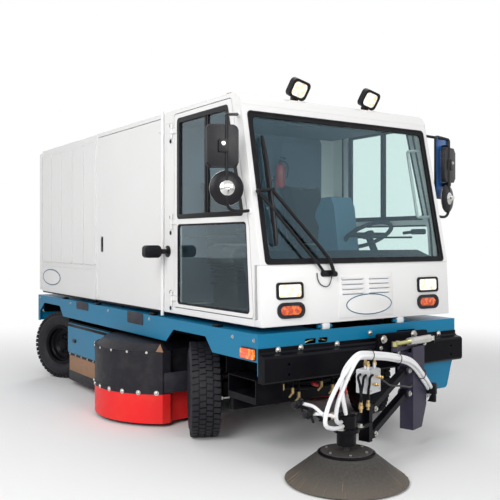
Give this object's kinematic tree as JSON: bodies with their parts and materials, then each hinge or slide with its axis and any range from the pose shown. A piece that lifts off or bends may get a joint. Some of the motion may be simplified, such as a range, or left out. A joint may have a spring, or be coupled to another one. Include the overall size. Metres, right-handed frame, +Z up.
{
  "type": "compact street sweeper truck",
  "caption": "Cab-forward compact street sweeper with steered wheels, tipping hopper, covered side brushes, a main brush and a swinging front brush on a lifting arm.",
  "frame": {"origin": "on the ground, in the middle of the whole outline in plan", "axes": "+Z up; the vehicle faces -Y; its left side is +X"},
  "size_m": [2.48, 5.31, 2.6509],
  "materials": {
    "black_paint": "satin paint",
    "black_plastic": "matte",
    "black_rubber": "matte",
    "bristle": "matte",
    "cast_aluminium": "satin",
    "cast_metal": "rough",
    "clear_plastic": "gloss",
    "console_plastic": "matte",
    "grey_paint": "satin paint",
    "red_rubber": "matte",
    "seat_cloth": "woven",
    "teal_paint": "gloss paint",
    "tinted_glass": "gloss",
    "tyre": "matte",
    "white_paint": "gloss paint",
    "zinc": "satin"
  },
  "bodies": {
    "chassis": {"frame_rails": "black_paint", "cross_members": "black_paint", "front_apron": "teal_paint", "bumper": "black_paint", "fender_right": "teal_paint", "fender_left": "teal_paint", "rear_panel": "teal_paint", "wheel_housings": "black_paint", "front_axle": "black_paint", "rear_axle": "black_paint", "cab_tub": "grey_paint", "cab_front_panel": "white_paint", "cab_frame": "white_paint", "cab_roof": "white_paint", "windshield": "tinted_glass", "seats": "seat_cloth", "dashboard": "console_plastic", "engine_bay": "white_paint", "engine": "cast_metal", "road_lamps": "clear_plastic", "work_lamps": "black_plastic", "mirrors": "black_plastic", "side_brush_guards": "black_rubber", "rubber_skirts": "red_rubber", "main_brush_box": "black_paint", "brush_box_doors": "teal_paint", "arm_mount": "black_paint"},
    "cab_door_right": {"cab_door_right": "white_paint", "door_glass_right": "tinted_glass"},
    "cab_door_left": {"cab_door_left": "white_paint", "door_glass_left": "tinted_glass"},
    "engine_door_right": {"engine_door_right": "white_paint"},
    "engine_door_left": {"engine_door_left": "white_paint"},
    "hopper": {"hopper": "white_paint"},
    "tailgate": {"tailgate": "white_paint"},
    "side_brush_right": {"side_brush_right": "bristle"},
    "side_brush_left": {"side_brush_left": "bristle"},
    "main_brush": {"main_brush": "bristle"},
    "steering_rod_front": {"steering_rod_front": "zinc"},
    "steering_rod_rear": {"steering_rod_rear": "zinc"},
    "arm_mast": {"arm_mast": "black_paint"},
    "lower_link": {"lower_link": "black_paint"},
    "upper_link": {"upper_link": "black_paint"},
    "arm_head": {"arm_head": "black_paint", "valve_block": "cast_aluminium"},
    "front_brush": {"front_brush": "bristle"},
    "swing_cylinder": {"swing_cylinder": "zinc"},
    "swing_rod": {"swing_rod": "zinc"},
    "knuckle_front_right": {"knuckle_front_right": "cast_metal"},
    "wheel_front_right": {"rim_front_right": "black_paint", "tyre_front_right": "tyre"},
    "knuckle_front_left": {"knuckle_front_left": "cast_metal"},
    "wheel_front_left": {"rim_front_left": "black_paint", "tyre_front_left": "tyre"},
    "knuckle_rear_right": {"knuckle_rear_right": "cast_metal"},
    "wheel_rear_right": {"rim_rear_right": "black_paint", "tyre_rear_right": "tyre"},
    "knuckle_rear_left": {"knuckle_rear_left": "cast_metal"},
    "wheel_rear_left": {"rim_rear_left": "black_paint", "tyre_rear_left": "tyre"}
  },
  "joints": [
    {"name": "steer_front_right", "type": "hinge", "parent": "chassis", "child": "knuckle_front_right", "pos_m": [-0.69, -0.915, 0.353], "axis": [0, 0, 1], "range_deg": [-3, 57]},
    {"name": "spin_front_right", "type": "hinge", "parent": "knuckle_front_right", "child": "wheel_front_right", "pos_m": [-0.78801, -0.86506, 0.353], "axis": [-0.891, 0.454, 0], "continuous": true},
    {"name": "steer_front_left", "type": "hinge", "parent": "chassis", "child": "knuckle_front_left", "pos_m": [0.69, -0.915, 0.353], "axis": [0, 0, 1], "range_deg": [-3, 57]},
    {"name": "spin_front_left", "type": "hinge", "parent": "knuckle_front_left", "child": "wheel_front_left", "pos_m": [0.78801, -0.96494, 0.353], "axis": [0.891, -0.454, 0], "continuous": true},
    {"name": "steer_rear_right", "type": "hinge", "parent": "chassis", "child": "knuckle_rear_right", "pos_m": [-0.69, 2.125, 0.353], "axis": [0, 0, 1], "range_deg": [-57, 3]},
    {"name": "spin_rear_right", "type": "hinge", "parent": "knuckle_rear_right", "child": "wheel_rear_right", "pos_m": [-0.78801, 2.07506, 0.353], "axis": [-0.891, -0.454, 0], "continuous": true},
    {"name": "steer_rear_left", "type": "hinge", "parent": "chassis", "child": "knuckle_rear_left", "pos_m": [0.69, 2.125, 0.353], "axis": [0, 0, 1], "range_deg": [-57, 3]},
    {"name": "spin_rear_left", "type": "hinge", "parent": "knuckle_rear_left", "child": "wheel_rear_left", "pos_m": [0.78801, 2.17494, 0.353], "axis": [0.891, 0.454, 0], "continuous": true},
    {"name": "steering_rod_front_slide", "type": "slide", "parent": "chassis", "child": "steering_rod_front", "axis": [1, 0, 0], "range_m": [-0.00651, 0.12351]},
    {"name": "steering_rod_rear_slide", "type": "slide", "parent": "chassis", "child": "steering_rod_rear", "axis": [1, 0, 0], "range_m": [-0.00651, 0.12351]},
    {"name": "cab_door_right_hinge", "type": "hinge", "parent": "chassis", "child": "cab_door_right", "pos_m": [-0.904, -0.565, 1.6], "axis": [0, 0, -1], "range_deg": [0, 75]},
    {"name": "cab_door_left_hinge", "type": "hinge", "parent": "chassis", "child": "cab_door_left", "pos_m": [0.904, -0.565, 1.6], "axis": [0, 0, 1], "range_deg": [0, 75]},
    {"name": "engine_door_right_hinge", "type": "hinge", "parent": "chassis", "child": "engine_door_right", "pos_m": [-0.906, -0.415, 1.6], "axis": [0, 0, 1], "range_deg": [0, 80]},
    {"name": "engine_door_left_hinge", "type": "hinge", "parent": "chassis", "child": "engine_door_left", "pos_m": [0.906, -0.415, 1.6], "axis": [0, 0, -1], "range_deg": [0, 80]},
    {"name": "hopper_tip", "type": "hinge", "parent": "chassis", "child": "hopper", "pos_m": [0, 2.605, 0.872], "axis": [-1, 0, 0], "range_deg": [0, 50]},
    {"name": "tailgate_hinge", "type": "hinge", "parent": "hopper", "child": "tailgate", "pos_m": [0, 2.597, 2.508], "axis": [1, 0, 0], "range_deg": [0, 85]},
    {"name": "side_brush_right_spin", "type": "hinge", "parent": "chassis", "child": "side_brush_right", "pos_m": [-0.86, 0.045, 0.2], "axis": [0, 0, 1], "continuous": true},
    {"name": "side_brush_left_spin", "type": "hinge", "parent": "chassis", "child": "side_brush_left", "pos_m": [0.86, 0.045, 0.2], "axis": [0, 0, 1], "continuous": true},
    {"name": "main_brush_spin", "type": "hinge", "parent": "chassis", "child": "main_brush", "pos_m": [0, 1.14, 0.262], "axis": [1, 0, 0], "continuous": true},
    {"name": "arm_swing", "type": "hinge", "parent": "chassis", "child": "arm_mast", "pos_m": [0.29, -1.99, 0.645], "axis": [0, 0, 1], "range_deg": [0, 60]},
    {"name": "arm_lift", "type": "hinge", "parent": "arm_mast", "child": "lower_link", "pos_m": [0.14715, -2.03575, 0.41], "axis": [-0.305, 0.9524, 0], "range_deg": [0, 40]},
    {"name": "upper_link_pivot", "type": "hinge", "parent": "arm_mast", "child": "upper_link", "pos_m": [0.14715, -2.03575, 0.57], "axis": [-0.305, 0.9524, 0], "range_deg": [0, 40]},
    {"name": "head_level", "type": "hinge", "parent": "lower_link", "child": "arm_head", "pos_m": [-0.31822, -2.18477, 0.23215], "axis": [-0.305, 0.9524, 0], "range_deg": [-40, 0]},
    {"name": "front_brush_spin", "type": "hinge", "parent": "arm_head", "child": "front_brush", "pos_m": [-0.6, -2.275, 0.2], "axis": [0, 0, 1], "continuous": true},
    {"name": "swing_cylinder_pivot", "type": "hinge", "parent": "chassis", "child": "swing_cylinder", "pos_m": [0.47, -1.99, 0.766], "axis": [0, 0, 1], "range_deg": [-0.01, 38.78]},
    {"name": "swing_rod_slide", "type": "slide", "parent": "swing_cylinder", "child": "swing_rod", "axis": [-0.9812, -0.1928, 0], "range_m": [-0.08418, 0.0001]}
  ],
  "couplings": [
    {"joint": "steer_front_left", "follows": "steer_front_right", "ratio": 1},
    {"joint": "steer_rear_right", "follows": "steer_front_right", "ratio": -1},
    {"joint": "steer_rear_left", "follows": "steer_front_right", "ratio": -1},
    {"joint": "steering_rod_front_slide", "follows": "steer_front_right", "m_per_rad": 0.12414},
    {"joint": "steering_rod_rear_slide", "follows": "steer_front_right", "m_per_rad": 0.12414},
    {"joint": "upper_link_pivot", "follows": "arm_lift", "ratio": 1},
    {"joint": "head_level", "follows": "arm_lift", "ratio": -1},
    {"joint": "swing_cylinder_pivot", "follows": "arm_swing", "ratio": 0.6461},
    {"joint": "swing_rod_slide", "follows": "arm_swing", "m_per_rad": -0.08029}
  ]
}
